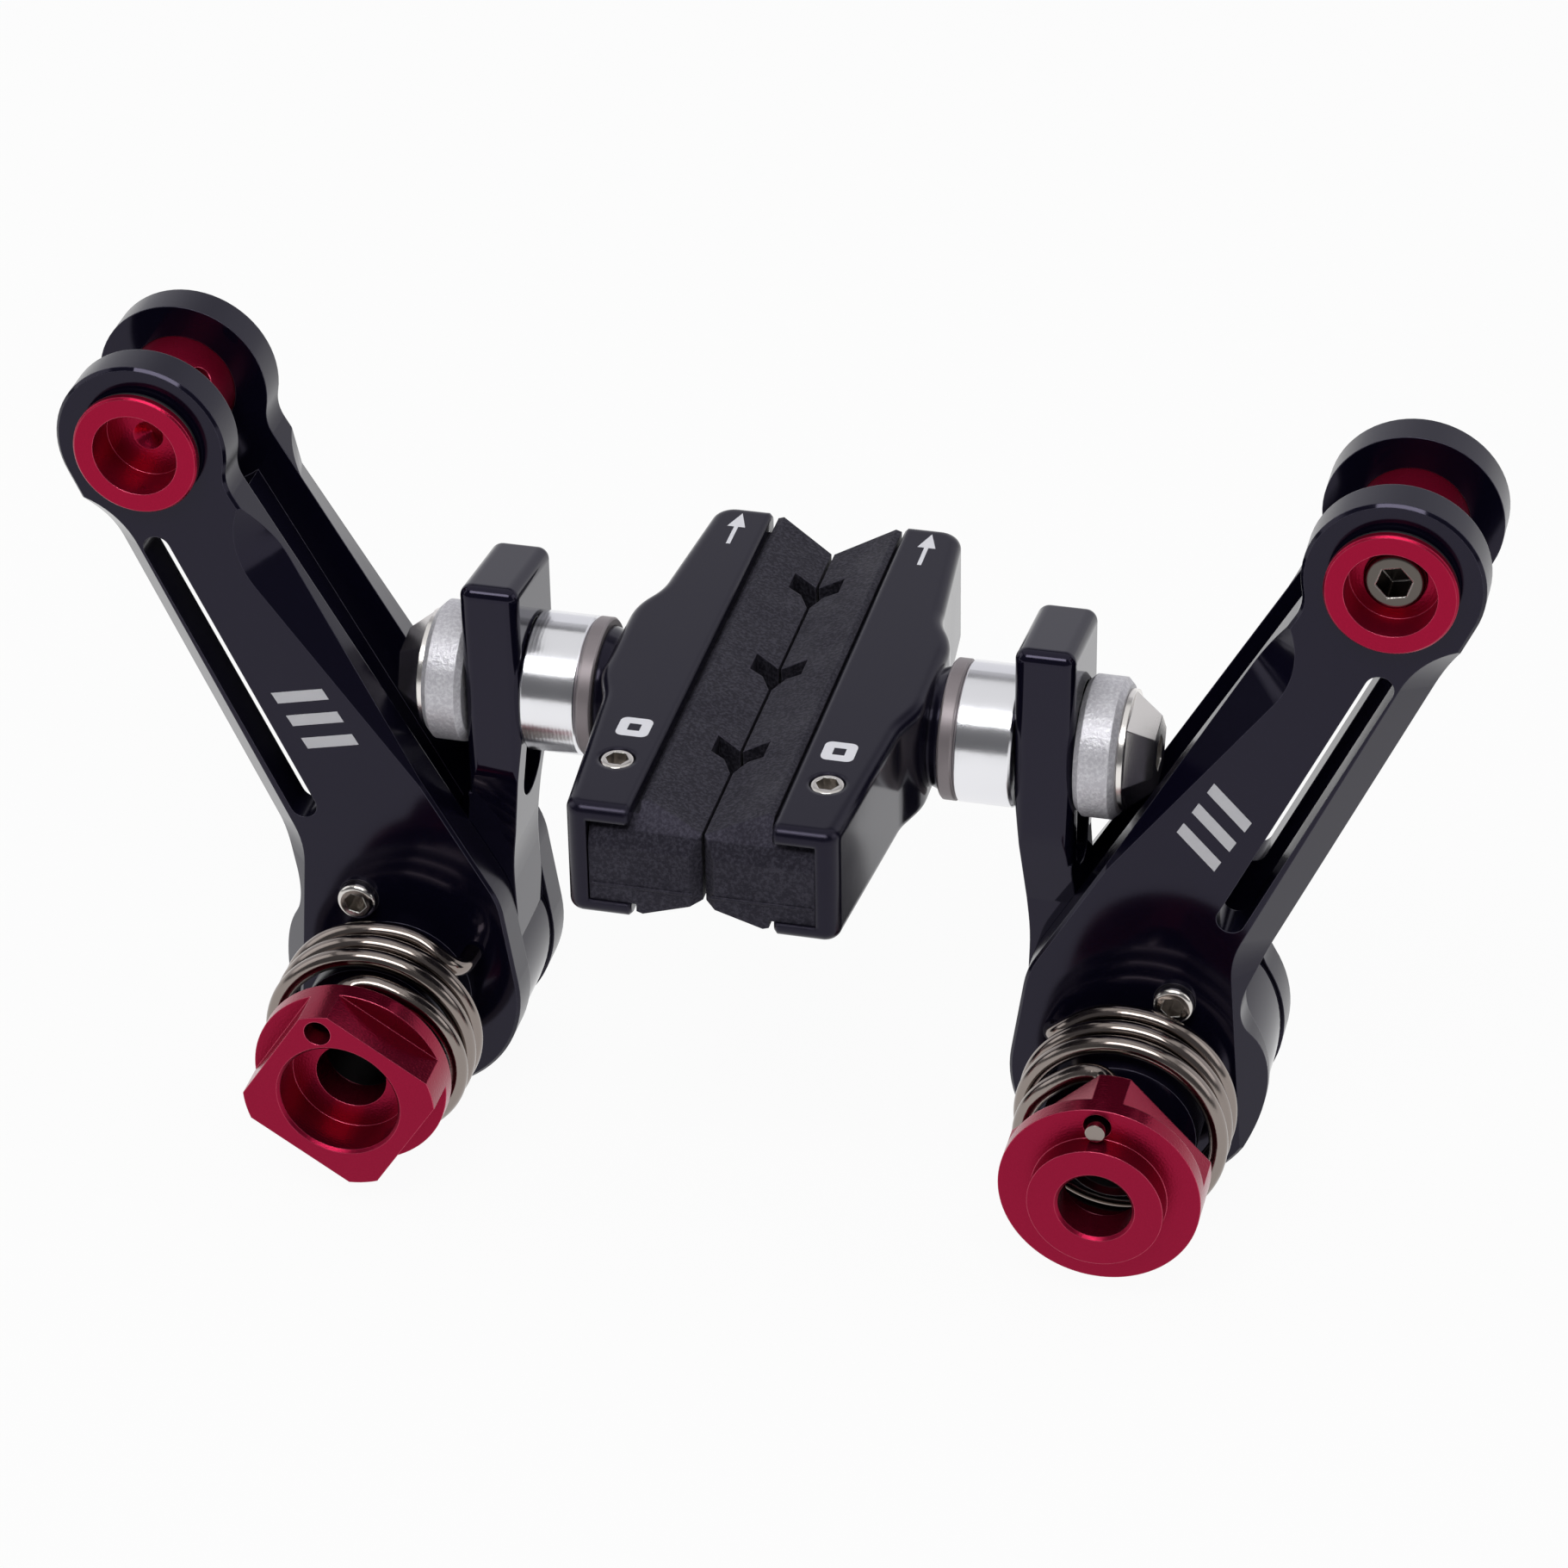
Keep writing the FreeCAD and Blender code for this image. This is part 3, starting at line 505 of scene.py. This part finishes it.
# %% [markdown]
# ## Rubber
# Brake rubber is filled with grit and comes out of a textured mould, so it
# breaks the light up into fine grey speckles and hardly shines. The same
# grain drives its colour and its relief. The ring on the barrel is a smooth
# black seal.

# %% Rubber
brake_rubber = make_finish("brake_rubber", (0.0058, 0.0056, 0.0080),
                           (0.047, 0.045, 0.058), 0.0, rough=(0.50, 0.68),
                           shine=0.34, mirror_tint=cold, edge=200e-6,
                           broad=200.0, grain_depth=70e-6, speckle=0.6)
dress(brake_rubber, *both("pad_insert"))
dress(make_finish("seal_rubber", (0.010, 0.010, 0.012), (0.03, 0.03, 0.034),
                  0.0, rough=(0.40, 0.52)),
      *both("barrel_o_ring"))

# %% [markdown]
# ## Marks
# Pads work only one way round, so each holder carries a printed arrow and a
# pale square. A print is a skin of ink, and it is modelled as one: a flat
# outline made from a plane, then given a thickness of a few hundredths of a
# millimetre so that it lies on the black coat. A mark that comes back is
# modelled once and copied, each copy with a mesh of its own, and its place is
# then written into that mesh.

# %% Ink
def printed(name, colour):
    return make_finish(name, colour, colour, 0.0, rough=(0.42, 0.55),
                       edge=20e-6, fine=2500.0, broad=300.0)

pale_ink = printed("pale_ink", (0.66, 0.66, 0.70))
print(pale_ink.name, "made")

# %% Helpers for marks
SKIN = 0.00003

def flat_plane(name, width, length):
    bpy.ops.object.select_all(action="DESELECT")
    bpy.ops.mesh.primitive_plane_add(size=1.0)
    made = bpy.context.object
    made.name = name
    bpy.ops.object.mode_set(mode="EDIT")
    bpy.ops.transform.resize(value=(width, length, 1.0))
    return made

def select_far_edge(made):
    bpy.ops.mesh.select_mode(type="VERT")
    bpy.ops.mesh.select_all(action="DESELECT")
    bpy.ops.object.mode_set(mode="OBJECT")
    for point in made.data.vertices:
        point.select = point.co.y > 0
    bpy.ops.object.mode_set(mode="EDIT")

def give_skin(made, ink):
    bpy.ops.object.mode_set(mode="OBJECT")
    skin = made.modifiers.new("skin", "SOLIDIFY")
    skin.thickness = SKIN
    skin.offset = 1.0
    bpy.ops.object.modifier_apply(modifier="skin")
    made.data.materials.append(ink)
    return made

# %% Helpers for copies and places
def model_once(shape, names):
    first = shape(names[0])
    made = {names[0]: first}
    for name in names[1:]:
        bpy.ops.object.select_all(action="DESELECT")
        first.select_set(True)
        bpy.context.view_layer.objects.active = first
        bpy.ops.object.duplicate()
        made[name] = bpy.context.object
        made[name].name = name
    return made

def put(made, at, body, turn=Matrix()):
    made.data.transform(Matrix.Translation(at) @ turn)
    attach(made, body)
    print(made.name, "on", body)

# %% Arrows
shaft_width, shaft_length = 0.00042, 0.0034
head_spread, head_length = 4.4, 0.0027
arrow_across, arrow_back = 0.0098, 0.0296

def extrude_along_y(way):
    bpy.ops.mesh.extrude_region_move(TRANSFORM_OT_translate={"value": (0, way, 0)})

def arrow_outline(name):
    made = flat_plane(name, shaft_width, shaft_length)
    select_far_edge(made)
    extrude_along_y(0)
    bpy.ops.transform.resize(value=(head_spread, 1, 1))
    extrude_along_y(head_length)
    bpy.ops.mesh.merge(type="CENTER")
    return give_skin(made, pale_ink)

holder_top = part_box("pad_holder_right")[1].z
arrows = model_once(arrow_outline, both("arrow_mark"))
for side, mirror in SIDES:
    put(arrows["arrow_mark_" + side],
        (mirror * arrow_across, arrow_back, holder_top),
        "pad_" + side)

# %% Squares
square_size, square_round, square_line = 0.0032, 0.0007, 0.0006
square_hole = 0.6
square_across, square_back = 0.0100, -0.0073

def square_outline(name):
    made = flat_plane(name, square_size, square_size)
    bpy.ops.mesh.bevel(offset=square_round, segments=5, affect="VERTICES")
    bpy.ops.mesh.select_all(action="SELECT")
    bpy.ops.mesh.inset(thickness=square_line)
    bpy.ops.transform.resize(value=(square_hole, square_hole, 1.0))
    bpy.ops.mesh.delete(type="FACE")
    return give_skin(made, pale_ink)

squares = model_once(square_outline, both("square_mark"))
for side, mirror in SIDES:
    put(squares["square_mark_" + side],
        (mirror * square_across, square_back, holder_top),
        "pad_" + side)

# %% [markdown]
# ## Mould line
# Rubber is pressed between the halves of a mould, and a thin ridge stays where
# they meet. On these inserts it runs across the front end. A ridge is a long
# round-edged bar, so a cube is squeezed thin, its edges are bevelled, and it is
# half sunk in the rubber.

# %% Mould line
ridge_size, ridge_round = (0.0098, 0.00028, 0.00034), 0.00009
ridge_across, ridge_up = 0.0058, 0.0304

def mould_line(name):
    bpy.ops.object.select_all(action="DESELECT")
    bpy.ops.mesh.primitive_cube_add(size=1.0)
    made = bpy.context.object
    made.name = name
    bpy.ops.object.mode_set(mode="EDIT")
    bpy.ops.transform.resize(value=ridge_size)
    bpy.ops.mesh.bevel(offset=ridge_round, segments=3)
    bpy.ops.object.mode_set(mode="OBJECT")
    made.data.materials.append(brake_rubber)
    return made

insert_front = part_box("pad_insert_right")[0].y
ridges = model_once(mould_line, both("mould_line"))
for side, mirror in SIDES:
    put(ridges["mould_line_" + side],
        (mirror * ridge_across, insert_front, ridge_up),
        "pad_" + side)

# %% [markdown]
# ## Bars on the arms
# The arms carry a plain decoration too: three slanted bars, bright where a
# laser has taken the black skin off. One bar is made from a plane whose far
# edge is slid sideways, and the other five are copies of it. Each is stood up
# on the arm's face and leans with its arm.

# %% One bar and its copies
bright_mark = printed("bright_mark", (0.60, 0.60, 0.63))
bar_width, bar_length, bar_slant = 0.0013, 0.0052, 0.0016
BARS = (1, 2, 3)

def slanted_bar(name):
    made = flat_plane(name, bar_width, bar_length)
    select_far_edge(made)
    bpy.ops.transform.translate(value=(bar_slant, 0, 0))
    return give_skin(made, bright_mark)

bars = model_once(slanted_bar, ["bar_mark_%s_%d" % (side, number)
                                for side, mirror in SIDES for number in BARS])
print("bars:", len(bars))

# %% Bars on the arms
arm_across, arm_up = 0.4965, 0.868
bars_across, bars_up, bar_step = 0.0451, 0.0315, 0.0028
lean = math.atan2(arm_across, arm_up)
stood_up = Matrix.Rotation(math.radians(90), 4, "X")
crosswise = Matrix.Rotation(math.radians(-90), 4, "Z")
for side, mirror in SIDES:
    along = Matrix.Rotation(mirror * lean, 4, "Y")
    for number, step in zip(BARS, (-bar_step, 0.0, bar_step)):
        middle = Vector((mirror * (bars_across + step * math.sin(lean)),
                         0.0, bars_up + step * math.cos(lean)))
        put(bars["bar_mark_%s_%d" % (side, number)], middle,
            "arm_" + side, along @ stood_up @ crosswise)

# %% [markdown]
# ## Sizes
# The marks and finishes mustn't make the brake any larger, so both boxes are
# kept side by side to be compared.

# %% Sizes and end
dressed_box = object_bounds()
grown = [round(1000 * abs(new - old), 3)
         for old_corner, new_corner in zip(cad_box, dressed_box)
         for old, new in zip(old_corner, new_corner)]
print("grown by mm:", grown)
